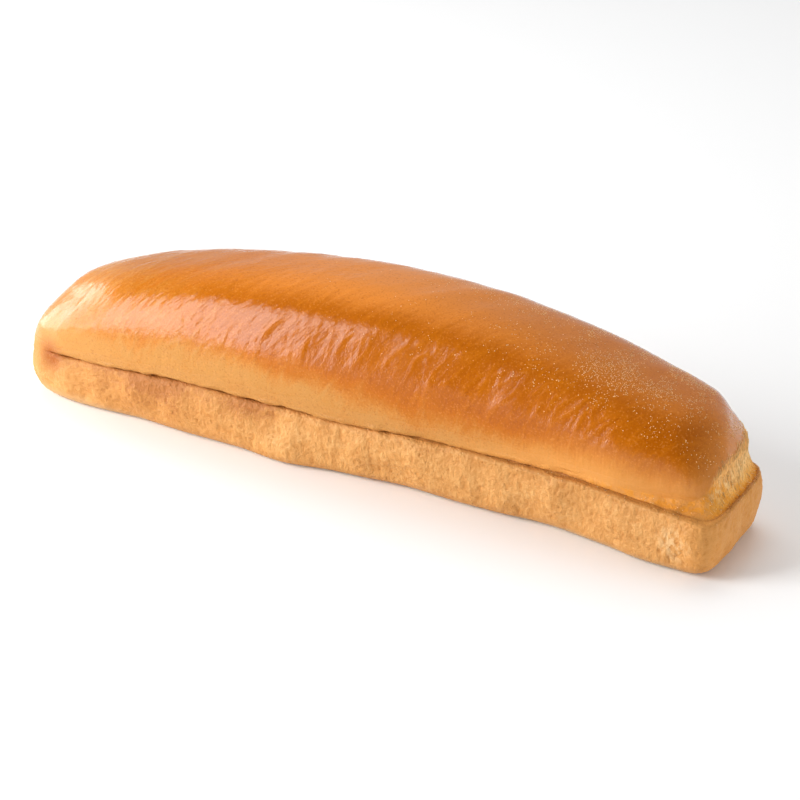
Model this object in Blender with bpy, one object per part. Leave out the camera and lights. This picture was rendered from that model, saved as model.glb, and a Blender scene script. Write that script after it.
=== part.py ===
# A long soft hot dog bun, baked in a tin and left uncut, as one closed solid.
# X runs along the bun, -Y is its front and Z is up. The sole lies on Z = 0. Sizes are in metres.
# The lower part kept the shape of the tin: a flared wall that rolls over at its lip. The dough
# rose out of the tin above the lip as a dome, with a crease between the two. The dome hangs over
# the wall on the front left and sits back from it on the right. At the -X end both run together
# in one skin. At the +X end the dome tore away from the lip and shows stretched crumb.
import math

import bmesh
import bpy
from mathutils import Vector, noise

NAME = "bun"

# Driving sizes of the whole bun
LENGTH = 0.2404
WIDTH = 0.0536
HEIGHT = 0.0556
HALF_LENGTH = LENGTH / 2

# Plan: the bun is a little bent, wider in the middle, and wider at the +X end than the other
BEND = 0.0076
END_BEND = 0.0067
BELLY = 0.225
WIDENING = 0.043

# Side view: the crown and the lip sink towards both ends
CROWN_SINK = 0.0193
CROWN_TILT = 0.0006
LIP_HEIGHT = 0.0189
LIP_SINK = 0.0022
LIP_TILT = 0.0008

# Uneven stretches of the front, each (place along X, amount, spread)
FOOT_WAVES = (
    (-0.075, -0.0018, 0.014),
    (-0.020, 0.0028, 0.012),
    (0.020, -0.0013, 0.012),
    (0.067, -0.0015, 0.012),
    (0.098, 0.0016, 0.009),
)
LIP_WAVES = (
    (-0.058, 0.0010, 0.018),
    (0.003, -0.0011, 0.016),
    (0.075, 0.0005, 0.015),
)

# Wall and the roll at its top
FOOT_RADIUS = 0.0050
WALL_FLARE = 0.0012
WALL_BULGE = 0.0006
LEFT_ROLL = 0.0034
RIGHT_ROLL = 0.0009

# Crease between wall and dome, and where along X it fades into the skin of the -X end
CREASE_DEPTH = 0.0025
CREASE_MOUTH = 0.0020
CREASE_FADE = (-0.1125, -0.1020)

# Dome: how far it hangs over the wall on the left, and sits back from it on the right
DOME_OVERHANG = 0.0013
DOME_SETBACK = 0.0013
OVERHANG_CHANGE = (-0.030, 0.085)
LEFT_REACH = 0.0433
RIGHT_REACH = 0.0132
RIGHT_SETBACK = 0.0040
UNDERCUT = 0.30
SIDE_POWER = 0.68
LEFT_POWER = 0.56
CROWN_POWER = 0.92
FULLY_ROUND = 0.55

# The dome draws in from the lip at the front corner of the torn end: share of its width, and where
CORNER_TAPER = 0.30
TAPER_RANGE = (0.085, 0.120)

# Squareness of the ends in plan: 2 is an ellipse, more is squarer
LEFT_SQUARENESS = 5.1
RIGHT_SQUARENESS = 5.6
CORNER_SQUARENESS = 3.4
CROWN_SQUARENESS = 1.8

# Torn end: the dome's skin stops above the lip, and crumb fills the hollow between them
TEAR_SKEW = 0.45
TEAR_RANGE = (0.1000, 0.1180)
TEAR_HEIGHT = 0.0066
TORN_LIP_DEPTH = 0.0009
STRAND_PITCH = 0.0048
STRAND_DEPTH = 0.0006

# Relief of the skin
WRINKLE_PITCH = 0.0105
WRINKLE_LENGTH = 0.034
WRINKLE_SLANT = -0.80
WRINKLE_DEPTH = 0.0003
DENT_PITCH = 0.0075
DENT_HEIGHT = 0.0160
DENT_DEPTH = 0.0010
NOISE_SEED = 3.7

# Fineness of the faceted solid
SIDE_STEPS = 58
LEFT_END_STEPS = 22
RIGHT_END_STEPS = 32
FOOT_STEPS = 3
WALL_STEPS = 5
ROLL_STEPS = 3
RISE_STEPS = 4
DOME_STEPS = 14
WELD = 0.00002

SKIN_COLOUR = (0.60, 0.27, 0.055, 1.0)
SKIN_ROUGHNESS = 0.42


def smooth_step(value, start, end):
    share = min(max((value - start) / (end - start), 0.0), 1.0)
    return share * share * (3 - 2 * share)


def mix(first, second, share):
    return first + (second - first) * share


def waves(x, table):
    return sum(amount * math.exp(-(((x - place) / spread) ** 2)) for place, amount, spread in table)


def lip_height(x, front):
    u = x / HALF_LENGTH
    return LIP_HEIGHT + LIP_TILT * u - LIP_SINK * u * u + front * waves(x, LIP_WAVES)


def crown_height(x):
    u = x / HALF_LENGTH
    return HEIGHT + CROWN_TILT * u - CROWN_SINK * u * u


def bend_in_plan(x, y):
    """Widens the middle and bends the whole towards the front."""
    u = x / HALF_LENGTH
    return y * (1 + WIDENING * u - BELLY * u * u) - BEND * u * u - END_BEND * u**3


def on_unit_corner(angle, squareness):
    c, s = math.cos(angle), math.sin(angle)
    reach = (abs(c) ** squareness + abs(s) ** squareness) ** (1 / squareness)
    return c / reach, s / reach


def places_round():
    """Places round the bun, each (section, share of it): back side, -X end, front side, +X end."""
    found = []
    for section, steps in (
        ("back", SIDE_STEPS),
        ("left", LEFT_END_STEPS),
        ("front", SIDE_STEPS),
        ("right", RIGHT_END_STEPS),
    ):
        found += [(section, step / steps) for step in range(steps)]
    return found


def plan_point(place, half_width, left_reach, right_reach, left_squareness, right_squareness):
    """The point of one level's outline at a place, before the bend."""
    section, share = place
    straight_left = HALF_LENGTH - LEFT_REACH
    straight_right = HALF_LENGTH - RIGHT_SETBACK - RIGHT_REACH
    if section == "back":
        return straight_right - (straight_right + straight_left) * share, half_width
    if section == "front":
        return -straight_left + (straight_right + straight_left) * share, -half_width
    if section == "left":
        c, s = on_unit_corner(math.pi / 2 + math.pi * share, left_squareness)
        return -straight_left + left_reach * c, half_width * s
    c, s = on_unit_corner(-math.pi / 2 + math.pi * share, right_squareness)
    return straight_right + right_reach * c, half_width * s


def wall_plan(place, inset):
    """The outline of the tin-baked part, moved in by inset."""
    return plan_point(
        place,
        WIDTH / 2 - inset,
        LEFT_REACH - inset,
        RIGHT_REACH + RIGHT_SETBACK - inset,
        LEFT_SQUARENESS,
        RIGHT_SQUARENESS,
    )


def traits(place):
    """What changes round the bun: shares of front, right half, tear and crease."""
    x, y = wall_plan(place, 0.0)
    front = smooth_step(-y, -0.004, 0.010)
    right = smooth_step(x, *OVERHANG_CHANGE)
    tear = smooth_step(x + TEAR_SKEW * y, *TEAR_RANGE)
    crease = smooth_step(x, *CREASE_FADE)
    return front, right, tear, crease


def wall_point(place, front, height, inset):
    """A point of the wall at a height given as a share of the lip's height."""
    x, y = wall_plan(place, inset + WALL_FLARE * (1 - height))
    y -= front * smooth_step(height, 0.75, 0.0) * waves(x, FOOT_WAVES)
    return Vector((x, bend_in_plan(x, y), height * lip_height(x, front)))


def dome_rise(angle):
    """Height of the dome above the lip as a share, 0 at the undercut and 1 at the crown."""
    lowest = -(math.sin(UNDERCUT) ** CROWN_POWER)
    rise = math.copysign(abs(math.sin(angle)) ** CROWN_POWER, angle)
    return (rise - lowest) / (1 - lowest)


def dome_point(place, angle, front, crease, overhang):
    """A point of the dome: angle is -UNDERCUT at its lowest and a quarter turn at the crown."""
    size = max(math.cos(angle), 0.0) ** SIDE_POWER
    if angle < 0:
        size = mix(1.0, size, crease)
    turned = (angle + UNDERCUT) / (math.pi / 2 + UNDERCUT)
    left_size = max(math.cos(math.pi / 2 * turned), 0.0) ** LEFT_POWER
    rounding = smooth_step(turned, 0.0, FULLY_ROUND)
    left = mix(LEFT_SQUARENESS, CROWN_SQUARENESS, rounding)
    front_corner = place[0] == "right" and place[1] < 0.5
    right = mix(CORNER_SQUARENESS if front_corner else RIGHT_SQUARENESS, CROWN_SQUARENESS, rounding)
    half_width = (WIDTH / 2 + overhang) * size
    x, y = plan_point(place, half_width, LEFT_REACH * left_size, RIGHT_REACH * size, left, right)
    if y < 0:
        y *= 1 - CORNER_TAPER * smooth_step(x, *TAPER_RANGE)
    base = lip_height(x, front)
    return Vector((x, bend_in_plan(x, y), mix(base, crown_height(x), dome_rise(angle))))


def dome_start(place, front, tear):
    """The angle at which the dome's skin starts, higher where it tore away from the lip."""
    x, _ = wall_plan(place, RIGHT_SETBACK * tear)
    share = (CREASE_MOUTH + TEAR_HEIGHT * tear) / (crown_height(x) - lip_height(x, front))
    lowest = -(math.sin(UNDERCUT) ** CROWN_POWER)
    rise = mix(lowest, 1.0, share)
    return math.asin(math.copysign(abs(rise) ** (1 / CROWN_POWER), rise))


def wall_levels(place, front, right, tear, crease):
    """From the edge of the sole up the wall and over the roll at its top, to the crease."""
    points = []
    foot = FOOT_RADIUS / LIP_HEIGHT
    for step in range(FOOT_STEPS):
        turn = math.pi / 2 * step / FOOT_STEPS
        inset = FOOT_RADIUS * (1 - math.sin(turn))
        points.append(wall_point(place, front, foot * (1 - math.cos(turn)), inset))
    roll = mix(LEFT_ROLL, RIGHT_ROLL, max(right, tear)) / LIP_HEIGHT
    for step in range(WALL_STEPS + 1):
        bulge = WALL_BULGE * math.sin(math.pi * step / WALL_STEPS)
        points.append(wall_point(place, front, mix(foot, 1 - roll, step / WALL_STEPS), -bulge))
    depth = mix(CREASE_DEPTH, TORN_LIP_DEPTH, tear) * crease
    for step in range(1, ROLL_STEPS + 1):
        turn = math.pi / 2 * step / ROLL_STEPS
        height = 1 - roll * (1 - math.sin(turn))
        points.append(wall_point(place, front, height, depth * (1 - math.cos(turn))))
    return points


def rise_levels(valley, edge):
    """From the crease to the edge of the dome's skin: a small roll, or a hollow of torn crumb."""
    points = []
    for step in range(1, RISE_STEPS + 1):
        turn = math.pi / 2 * step / (RISE_STEPS + 1)
        point = valley.lerp(edge, math.sin(turn))
        point.z = mix(valley.z, edge.z, 1 - math.cos(turn))
        points.append(point)
    return points


def column(place):
    """The points at one place, from the edge of the sole up to the crown."""
    front, right, tear, crease = traits(place)
    overhang = mix(DOME_OVERHANG, -DOME_SETBACK, right) * crease
    points = wall_levels(place, front, right, tear, crease)
    start = dome_start(place, front, tear)
    points += rise_levels(points[-1], dome_point(place, start, front, crease, overhang))
    for step in range(DOME_STEPS + 1):
        angle = mix(start, math.pi / 2, step / DOME_STEPS)
        points.append(dome_point(place, angle, front, crease, overhang))
    return points


def skin_relief(point, tear):
    """How far the skin stands out at a point: dents in the wall, strands in the tear, wrinkles above."""
    x, y, z = point
    lip = lip_height(x, smooth_step(-y, 0.0, 0.010))
    wall = smooth_step(z, 0.001, 0.006) * smooth_step(z, lip, lip - 0.004)
    dome = smooth_step(z, lip + 0.006, lip + 0.014)
    torn = tear * smooth_step(z, lip, lip + 0.002) * smooth_step(z, lip + 0.012, lip + 0.009)
    dent = noise.noise(Vector((x / DENT_PITCH, y / DENT_PITCH, z / DENT_HEIGHT + NOISE_SEED)))
    across = (x + WRINKLE_SLANT * y) / WRINKLE_PITCH
    wrinkle = noise.noise(Vector((across, y / WRINKLE_LENGTH, z / WRINKLE_LENGTH - NOISE_SEED)))
    strand = noise.noise(Vector((x / STRAND_PITCH, y / STRAND_PITCH, NOISE_SEED)))
    return DENT_DEPTH * wall * dent + WRINKLE_DEPTH * dome * wrinkle + STRAND_DEPTH * torn * strand


def loft(places):
    """Joins the columns into a closed skin: the sole is one flat face, and the crown is welded shut."""
    mesh = bmesh.new()
    torn = mesh.verts.layers.float.new("torn")
    rows = [[mesh.verts.new(point) for point in column(place)] for place in places]
    for row, place in zip(rows, places):
        for vertex in row:
            vertex[torn] = traits(place)[2]
    for number, row in enumerate(rows):
        following = rows[(number + 1) % len(rows)]
        for level in range(len(row) - 1):
            mesh.faces.new((row[level], following[level], following[level + 1], row[level + 1]))
    mesh.faces.new([row[0] for row in reversed(rows)])
    bmesh.ops.remove_doubles(mesh, verts=mesh.verts[:], dist=WELD)
    return mesh


def add_relief(mesh):
    """Moves the skin in and out along its normals. The sole stays flat."""
    torn = mesh.verts.layers.float["torn"]
    mesh.normal_update()
    raised = [vertex for vertex in mesh.verts if vertex.co.z > WELD]
    moves = [vertex.normal * skin_relief(vertex.co, vertex[torn]) for vertex in raised]
    for vertex, move in zip(raised, moves):
        vertex.co += move
    mesh.verts.layers.float.remove(torn)


def centre_on_box(mesh):
    """Puts the middle of the bun's box over the origin."""
    for axis in (0, 1):
        values = [vertex.co[axis] for vertex in mesh.verts]
        middle = (min(values) + max(values)) / 2
        for vertex in mesh.verts:
            vertex.co[axis] -= middle


def skin_material():
    material = bpy.data.materials.new("baked_skin")
    material.use_nodes = True
    shader = material.node_tree.nodes["Principled BSDF"]
    shader.inputs["Base Color"].default_value = SKIN_COLOUR
    shader.inputs["Roughness"].default_value = SKIN_ROUGHNESS
    shader.inputs["Metallic"].default_value = 0.0
    return material


def make_bun(collection):
    mesh = loft(places_round())
    bmesh.ops.recalc_face_normals(mesh, faces=mesh.faces[:])
    add_relief(mesh)
    centre_on_box(mesh)
    data = bpy.data.meshes.new(NAME)
    mesh.to_mesh(data)
    mesh.free()
    data.shade_smooth()
    data.materials.append(skin_material())
    bun = bpy.data.objects.new(NAME, data)
    collection.objects.link(bun)
    return bun


def main():
    for old in list(bpy.data.objects):
        bpy.data.objects.remove(old, do_unlink=True)
    collection = bpy.data.collections.new("hot_dog_bun")
    bpy.context.scene.collection.children.link(collection)
    make_bun(collection)


main()
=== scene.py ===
import math

import bmesh
import bpy
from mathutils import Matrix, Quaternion, Vector, noise


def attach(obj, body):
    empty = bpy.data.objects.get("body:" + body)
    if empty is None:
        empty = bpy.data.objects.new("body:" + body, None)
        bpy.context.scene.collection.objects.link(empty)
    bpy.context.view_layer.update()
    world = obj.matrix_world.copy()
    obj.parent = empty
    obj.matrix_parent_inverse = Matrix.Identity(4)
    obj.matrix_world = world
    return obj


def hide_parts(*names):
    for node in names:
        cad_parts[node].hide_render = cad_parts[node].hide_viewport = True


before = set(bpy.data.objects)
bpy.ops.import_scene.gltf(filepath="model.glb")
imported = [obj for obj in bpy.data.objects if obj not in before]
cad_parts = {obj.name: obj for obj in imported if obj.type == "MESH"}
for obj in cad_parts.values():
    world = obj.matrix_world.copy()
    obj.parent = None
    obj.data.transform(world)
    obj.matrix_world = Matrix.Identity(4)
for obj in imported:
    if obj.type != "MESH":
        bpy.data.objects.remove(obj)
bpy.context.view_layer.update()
print("frame loaded")

# The form of the bun, from the same driving sizes as its solid. Metres, +X towards the torn end.
bunForm = {
    "halfLength": 0.1202,
    "width": 0.0536,
    "height": 0.0556,
    "bend": 0.0076,
    "endBend": 0.0067,
    "belly": 0.225,
    "widening": 0.043,
    "crownSink": 0.0193,
    "crownTilt": 0.0006,
    "lipHeight": 0.0189,
    "lipSink": 0.0022,
    "lipTilt": 0.0008,
    "footWaves": (
        (-0.075, -0.0018, 0.014),
        (-0.020, 0.0028, 0.012),
        (0.020, -0.0013, 0.012),
        (0.067, -0.0015, 0.012),
        (0.098, 0.0016, 0.009),
    ),
    "lipWaves": (
        (-0.058, 0.0010, 0.018),
        (0.003, -0.0011, 0.016),
        (0.075, 0.0005, 0.015),
    ),
    "footRadius": 0.0050,
    "wallFlare": 0.0012,
    "wallBulge": 0.0006,
    "leftRoll": 0.0034,
    "rightRoll": 0.0009,
    "creaseDepth": 0.0025,
    "creaseMouth": 0.0020,
    "creaseFade": (-0.1125, -0.1020),
    "domeOverhang": 0.0013,
    "domeSetback": 0.0013,
    "overhangChange": (-0.030, 0.085),
    "leftReach": 0.0433,
    "rightReach": 0.0132,
    "rightSetback": 0.0040,
    "undercut": 0.30,
    "sidePower": 0.68,
    "leftPower": 0.56,
    "crownPower": 0.92,
    "fullyRound": 0.55,
    "cornerTaper": 0.30,
    "taperRange": (0.085, 0.120),
    "leftSquareness": 5.1,
    "rightSquareness": 5.6,
    "cornerSquareness": 3.4,
    "crownSquareness": 1.8,
    "tearSkew": 0.45,
    "tearRange": (0.1000, 0.1180),
    "tearHeight": 0.0066,
    "tornLipDepth": 0.0009,
    "strandPitch": 0.0048,
    "strandDepth": 0.0006,
    "wrinklePitch": 0.0105,
    "wrinkleLength": 0.034,
    "wrinkleSlant": -0.80,
    "wrinkleDepth": 0.0003,
    "dentPitch": 0.0075,
    "dentHeight": 0.0160,
    "dentDepth": 0.0010,
    "noiseSeed": 3.7,
    # where things start and end, (from, to) in metres, then shares and powers
    "frontStart": (-0.004, 0.010),
    "reliefFront": (0.0, 0.010),
    "dentStart": (0.001, 0.006),
    "dentEnd": 0.004,
    "wrinkleStart": (0.006, 0.014),
    "strandStart": 0.002,
    "strandEnd": (0.012, 0.009),
    "shelfStart": (0.070, 0.100),
    "footWaveShare": 0.75,
    "tornShare": 0.17,
    "tornStartShare": 0.08,
    "shadeShares": (0.75, 0.10),
    "shadePowers": (1.5, 4.0),
}

# How finely the skin is lofted: places along the sides and round the ends, and levels from sole to crown
bunMesh = {
    "backSteps": 150,
    "frontSteps": 330,
    "leftEndSteps": 150,
    "rightEndSteps": 120,
    "soleSteps": 4,
    "footSteps": 8,
    "wallSteps": 24,
    "rollSteps": 8,
    "riseSteps": 14,
    "domeSteps": 66,
    "weld": 0.00002,
}


def smoothStep(value, start, end):
    share = min(max((value - start) / (end - start), 0.0), 1.0)
    return share * share * (3 - 2 * share)


def mix(first, second, share):
    return first + (second - first) * share


def waves(x, table):
    return sum(amount * math.exp(-(((x - place) / spread) ** 2)) for place, amount, spread in table)


def lipHeight(x, front):
    u = x / bunForm["halfLength"]
    level = bunForm["lipHeight"] + bunForm["lipTilt"] * u - bunForm["lipSink"] * u * u
    return level + front * waves(x, bunForm["lipWaves"])


def crownHeight(x):
    u = x / bunForm["halfLength"]
    return bunForm["height"] + bunForm["crownTilt"] * u - bunForm["crownSink"] * u * u


def bendInPlan(x, y):
    u = x / bunForm["halfLength"]
    wide = 1 + bunForm["widening"] * u - bunForm["belly"] * u * u
    return y * wide - bunForm["bend"] * u * u - bunForm["endBend"] * u**3


def onUnitCorner(angle, squareness):
    c, s = math.cos(angle), math.sin(angle)
    reach = (abs(c) ** squareness + abs(s) ** squareness) ** (1 / squareness)
    return c / reach, s / reach


def placesRound():
    # each place is (section, share of it), in order round the bun
    found = []
    for section, steps in (
        ("back", bunMesh["backSteps"]),
        ("left", bunMesh["leftEndSteps"]),
        ("front", bunMesh["frontSteps"]),
        ("right", bunMesh["rightEndSteps"]),
    ):
        found += [(section, step / steps) for step in range(steps)]
    return found


def planPoint(place, halfWidth, leftReach, rightReach, leftSquareness, rightSquareness):
    section, share = place
    straightLeft = bunForm["halfLength"] - bunForm["leftReach"]
    straightRight = bunForm["halfLength"] - bunForm["rightSetback"] - bunForm["rightReach"]
    if section == "back":
        return straightRight - (straightRight + straightLeft) * share, halfWidth
    if section == "front":
        return -straightLeft + (straightRight + straightLeft) * share, -halfWidth
    if section == "left":
        c, s = onUnitCorner(math.pi / 2 + math.pi * share, leftSquareness)
        return -straightLeft + leftReach * c, halfWidth * s
    c, s = onUnitCorner(-math.pi / 2 + math.pi * share, rightSquareness)
    return straightRight + rightReach * c, halfWidth * s


def wallPlan(place, inset, size=1.0):
    return planPoint(
        place,
        (bunForm["width"] / 2 - inset) * size,
        (bunForm["leftReach"] - inset) * size,
        (bunForm["rightReach"] + bunForm["rightSetback"] - inset) * size,
        bunForm["leftSquareness"],
        bunForm["rightSquareness"],
    )


def traits(place):
    # what changes round the bun: shares of front, right half, tear and crease
    x, y = wallPlan(place, 0.0)
    front = smoothStep(-y, *bunForm["frontStart"])
    right = smoothStep(x, *bunForm["overhangChange"])
    tear = smoothStep(x + bunForm["tearSkew"] * y, *bunForm["tearRange"])
    crease = smoothStep(x, *bunForm["creaseFade"])
    return front, right, tear, crease


def wallPoint(place, front, height, inset):
    x, y = wallPlan(place, inset + bunForm["wallFlare"] * (1 - height))
    y -= front * smoothStep(height, bunForm["footWaveShare"], 0.0) * waves(x, bunForm["footWaves"])
    return Vector((x, bendInPlan(x, y), height * lipHeight(x, front)))


def domeLowest():
    # where the dome starts under its widest level, as a share of its height above that level
    return -(math.sin(bunForm["undercut"]) ** bunForm["crownPower"])


def domeRise(angle):
    lowest = domeLowest()
    rise = math.copysign(abs(math.sin(angle)) ** bunForm["crownPower"], angle)
    return (rise - lowest) / (1 - lowest)


def domePoint(place, angle, front, crease, overhang):
    size = max(math.cos(angle), 0.0) ** bunForm["sidePower"]
    if angle < 0:
        size = mix(1.0, size, crease)
    turned = (angle + bunForm["undercut"]) / (math.pi / 2 + bunForm["undercut"])
    leftSize = max(math.cos(math.pi / 2 * turned), 0.0) ** bunForm["leftPower"]
    rounding = smoothStep(turned, 0.0, bunForm["fullyRound"])
    left = mix(bunForm["leftSquareness"], bunForm["crownSquareness"], rounding)
    frontCorner = place[0] == "right" and place[1] < 0.5
    right = bunForm["cornerSquareness"] if frontCorner else bunForm["rightSquareness"]
    right = mix(right, bunForm["crownSquareness"], rounding)
    halfWidth = (bunForm["width"] / 2 + overhang) * size
    leftReach = bunForm["leftReach"] * leftSize
    x, y = planPoint(place, halfWidth, leftReach, bunForm["rightReach"] * size, left, right)
    if y < 0:
        y *= 1 - bunForm["cornerTaper"] * smoothStep(x, *bunForm["taperRange"])
    base = lipHeight(x, front)
    return Vector((x, bendInPlan(x, y), mix(base, crownHeight(x), domeRise(angle))))


def domeStart(place, front, tear):
    x, _ = wallPlan(place, bunForm["rightSetback"] * tear)
    wanted = bunForm["creaseMouth"] + bunForm["tearHeight"] * tear
    rise = mix(domeLowest(), 1.0, wanted / (crownHeight(x) - lipHeight(x, front)))
    return math.asin(math.copysign(abs(rise) ** (1 / bunForm["crownPower"]), rise))


def column(place):
    # one row of points from the middle of the sole up to the crown, each with its masks
    front, right, tear, crease = traits(place)
    rows = []

    def add(point, wall, dome=0.0, torn=0.0, shade=0.0, rise=0.0):
        masks = {
            "wallHeight": wall,
            "domeHeight": dome,
            "tornCrumb": torn,
            "tearRise": rise,
            "creaseShade": shade,
            "creaseShare": crease,
        }
        rows.append((point, masks))

    for step in range(bunMesh["soleSteps"]):
        size = step / bunMesh["soleSteps"]
        inset = bunForm["footRadius"] + bunForm["wallFlare"]
        x, y = wallPlan(place, inset, size)
        y -= size * front * waves(x, bunForm["footWaves"])
        add(Vector((x, bendInPlan(x, y), 0.0)), 0.0)
    foot = bunForm["footRadius"] / bunForm["lipHeight"]
    for step in range(bunMesh["footSteps"]):
        turn = math.pi / 2 * step / bunMesh["footSteps"]
        height = foot * (1 - math.cos(turn))
        add(wallPoint(place, front, height, bunForm["footRadius"] * (1 - math.sin(turn))), height)
    roll = mix(bunForm["leftRoll"], bunForm["rightRoll"], max(right, tear)) / bunForm["lipHeight"]
    for step in range(bunMesh["wallSteps"] + 1):
        share = step / bunMesh["wallSteps"]
        height = mix(foot, 1 - roll, share)
        add(wallPoint(place, front, height, -bunForm["wallBulge"] * math.sin(math.pi * share)), height)
    depth = mix(bunForm["creaseDepth"], bunForm["tornLipDepth"], tear) * crease
    for step in range(1, bunMesh["rollSteps"] + 1):
        turn = math.pi / 2 * step / bunMesh["rollSteps"]
        height = 1 - roll * (1 - math.sin(turn))
        shade = crease * (1 - math.cos(turn)) ** mix(*bunForm["shadePowers"], max(right, tear))
        add(wallPoint(place, front, height, depth * (1 - math.cos(turn))), height, shade=shade)
    valley = rows[-1][0]
    shelf = max(tear, smoothStep(valley.x, *bunForm["shelfStart"]))
    start = domeStart(place, front, tear)
    overhang = mix(bunForm["domeOverhang"], -bunForm["domeSetback"], right) * crease
    edge = domePoint(place, start, front, crease, overhang)
    for step in range(1, bunMesh["riseSteps"] + 1):
        share = step / (bunMesh["riseSteps"] + 1)
        turn = math.pi / 2 * share
        point = valley.lerp(edge, math.sin(turn))
        point.z = mix(valley.z, edge.z, 1 - math.cos(turn))
        shade = crease * (1 - smoothStep(share, 0.0, mix(*bunForm["shadeShares"], shelf)))
        torn = tear * smoothStep(share, 0.0, bunForm["tornStartShare"])
        add(point, 1.0, torn=torn, shade=shade, rise=share)
    for step in range(bunMesh["domeSteps"] + 1):
        share = step / bunMesh["domeSteps"]
        angle = mix(start, math.pi / 2, share)
        point = domePoint(place, angle, front, crease, overhang)
        torn = tear * (1 - smoothStep(share, 0.0, bunForm["tornShare"]))
        add(point, 1.0, dome=domeRise(angle), torn=torn, rise=1.0 + share)
    return rows


def broadRelief(point, tear):
    # dents of the wall, wrinkles of the dome and strands of the tear
    x, y, z = point
    lip = lipHeight(x, smoothStep(-y, *bunForm["reliefFront"]))
    wall = smoothStep(z, *bunForm["dentStart"]) * smoothStep(z, lip, lip - bunForm["dentEnd"])
    dome = smoothStep(z, *[lip + rise for rise in bunForm["wrinkleStart"]])
    torn = tear * smoothStep(z, lip, lip + bunForm["strandStart"])
    torn *= smoothStep(z, *[lip + rise for rise in bunForm["strandEnd"]])
    seed = bunForm["noiseSeed"]
    dent = noise.noise(
        Vector((x / bunForm["dentPitch"], y / bunForm["dentPitch"], z / bunForm["dentHeight"] + seed))
    )
    across = (x + bunForm["wrinkleSlant"] * y) / bunForm["wrinklePitch"]
    length = bunForm["wrinkleLength"]
    wrinkle = noise.noise(Vector((across, y / length, z / length - seed)))
    strand = noise.noise(Vector((x / bunForm["strandPitch"], y / bunForm["strandPitch"], seed)))
    return (
        bunForm["dentDepth"] * wall * dent
        + bunForm["wrinkleDepth"] * dome * wrinkle
        + bunForm["strandDepth"] * torn * strand
    )


def centreOnBox(mesh):
    for axis in (0, 1):
        values = [vertex.co[axis] for vertex in mesh.verts]
        middle = (min(values) + max(values)) / 2
        for vertex in mesh.verts:
            vertex.co[axis] -= middle


def loftBun():
    # the closed skin with its broad relief, and masks as float attributes on its points
    places = placesRound()
    columns = [column(place) for place in places]
    mesh = bmesh.new()
    tearLayer = mesh.verts.layers.float.new("tearSide")
    layers = {name: mesh.verts.layers.float.new(name) for name in columns[0][0][1]}
    rows = []
    for place, points in zip(places, columns):
        tear = traits(place)[2]
        row = []
        for point, masks in points:
            vertex = mesh.verts.new(point)
            vertex[tearLayer] = tear
            for name, value in masks.items():
                vertex[layers[name]] = value
            row.append(vertex)
        rows.append(row)
    for number, row in enumerate(rows):
        following = rows[(number + 1) % len(rows)]
        for level in range(len(row) - 1):
            mesh.faces.new((row[level], following[level], following[level + 1], row[level + 1]))
    bmesh.ops.remove_doubles(mesh, verts=mesh.verts[:], dist=bunMesh["weld"])
    bmesh.ops.recalc_face_normals(mesh, faces=mesh.faces[:])
    mesh.normal_update()
    raised = [vertex for vertex in mesh.verts if vertex.co.z > bunMesh["weld"]]
    moves = [vertex.normal * broadRelief(vertex.co, vertex[tearLayer]) for vertex in raised]
    for vertex, move in zip(raised, moves):
        vertex.co += move
    centreOnBox(mesh)
    data = bpy.data.meshes.new("bunSkin")
    mesh.to_mesh(data)
    mesh.free()
    data.shade_smooth()
    skin = bpy.data.objects.new("bunSkin", data)
    bpy.context.scene.collection.objects.link(skin)
    return skin


blisterPlaces = {
    # where blisters grow: a patch on the crown near the torn end, fewer along the ridge, and a faint spread
    "patch": (0.091, -0.006),
    "patchSize": (0.025, 0.013),
    "ridgeStart": (0.010, 0.045),
    "ridgeSide": (0.009, 0.008),
    "ridgeShare": 0.28,
    "spreadStart": (-0.030, 0.070),
    "spreadShare": 0.07,
    "clumpSize": 0.007,
    "facingUp": (0.25, 0.6),
}


def addBlisterMask(skin):
    values = []
    form = blisterPlaces
    for vertex in skin.data.vertices:
        x, y, z = vertex.co
        far = ((x - form["patch"][0]) / form["patchSize"][0]) ** 2
        far += ((y - form["patch"][1]) / form["patchSize"][1]) ** 2
        beside = (y - form["ridgeSide"][0]) / form["ridgeSide"][1]
        ridge = form["ridgeShare"] * smoothStep(x, *form["ridgeStart"]) * math.exp(-beside * beside)
        spread = form["spreadShare"] * smoothStep(x, *form["spreadStart"])
        clump = 0.5 + noise.noise(Vector((x, y, z)) / form["clumpSize"])
        upper = smoothStep(vertex.normal.z, *form["facingUp"])
        values.append(max(0.0, (math.exp(-far) + ridge + spread) * clump * upper))
    mask = skin.data.attributes.new("blisterShare", "FLOAT", "POINT")
    mask.data.foreach_set("value", values)


lipPlaces = {
    # where the lip is ragged: from the middle of the front on, and round the torn end
    "start": (0.030, 0.075),
    "clumpSize": 0.004,
}


def addRaggedMask(skin):
    # the top of the lip, taken from the shade in the crease beside it
    values = []
    shade = skin.data.attributes["creaseShade"].data
    for number, vertex in enumerate(skin.data.vertices):
        x, y, z = vertex.co
        edge = shade[number].value * (1 - shade[number].value) * 4
        clump = 0.5 + noise.noise(Vector((x, y, z)) / lipPlaces["clumpSize"])
        values.append(max(0.0, edge * clump * smoothStep(x, *lipPlaces["start"])))
    mask = skin.data.attributes.new("raggedLip", "FLOAT", "POINT")
    mask.data.foreach_set("value", values)


# Small helpers for node trees


def addNode(tree, kind, inputs=None, **settings):
    made = tree.nodes.new(kind)
    for name, value in settings.items():
        setattr(made, name, value)
    for key, value in (inputs or {}).items():
        if isinstance(value, bpy.types.NodeSocket):
            tree.links.new(value, made.inputs[key])
        else:
            made.inputs[key].default_value = value
    return made


def calc(tree, operation, first, second=0.0, clamp=False):
    inputs = {0: first, 1: second}
    return addNode(tree, "ShaderNodeMath", inputs, operation=operation, use_clamp=clamp).outputs[0]


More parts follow.
